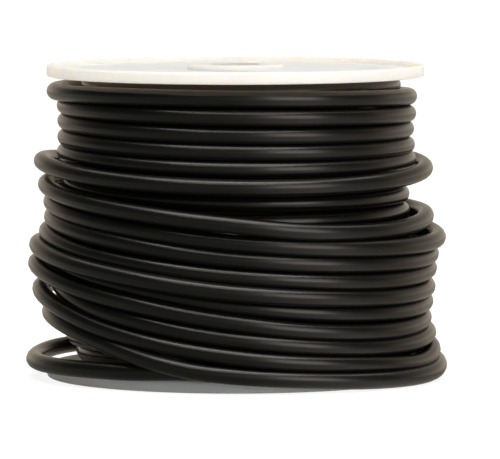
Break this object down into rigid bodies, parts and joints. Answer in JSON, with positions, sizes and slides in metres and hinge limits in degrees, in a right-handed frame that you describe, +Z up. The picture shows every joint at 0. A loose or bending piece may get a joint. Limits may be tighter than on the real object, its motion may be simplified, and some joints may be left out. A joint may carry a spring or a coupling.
{
  "type": "wire spool",
  "caption": "Flanged plastic spool with an arbor bore, wound past its rims with one length of round black insulated cable whose cut free end lies behind it.",
  "frame": {"origin": "centre of the lower flange's outer face, where the spool's axis meets the surface it stands on", "axes": "+Z up along the spool's axis; -Y is the side seen in front, and the cable's free end is on the +Y side"},
  "size_m": [0.1396, 0.1396, 0.105],
  "materials": {
    "spool_plastic": "satin moulded, off-white",
    "barrel_plastic": "moulded, off-white",
    "cable_jacket": "smooth glossy black PVC",
    "copper": "bare stranded copper"
  },
  "bodies": {
    "root": {"flange_bottom": "spool_plastic", "flange_top": "spool_plastic", "barrel": "barrel_plastic", "winding": "cable_jacket", "cable_start": "cable_jacket", "strands_start": "copper", "cable_end": "cable_jacket", "strands_end": "copper"}
  },
  "joints": []
}
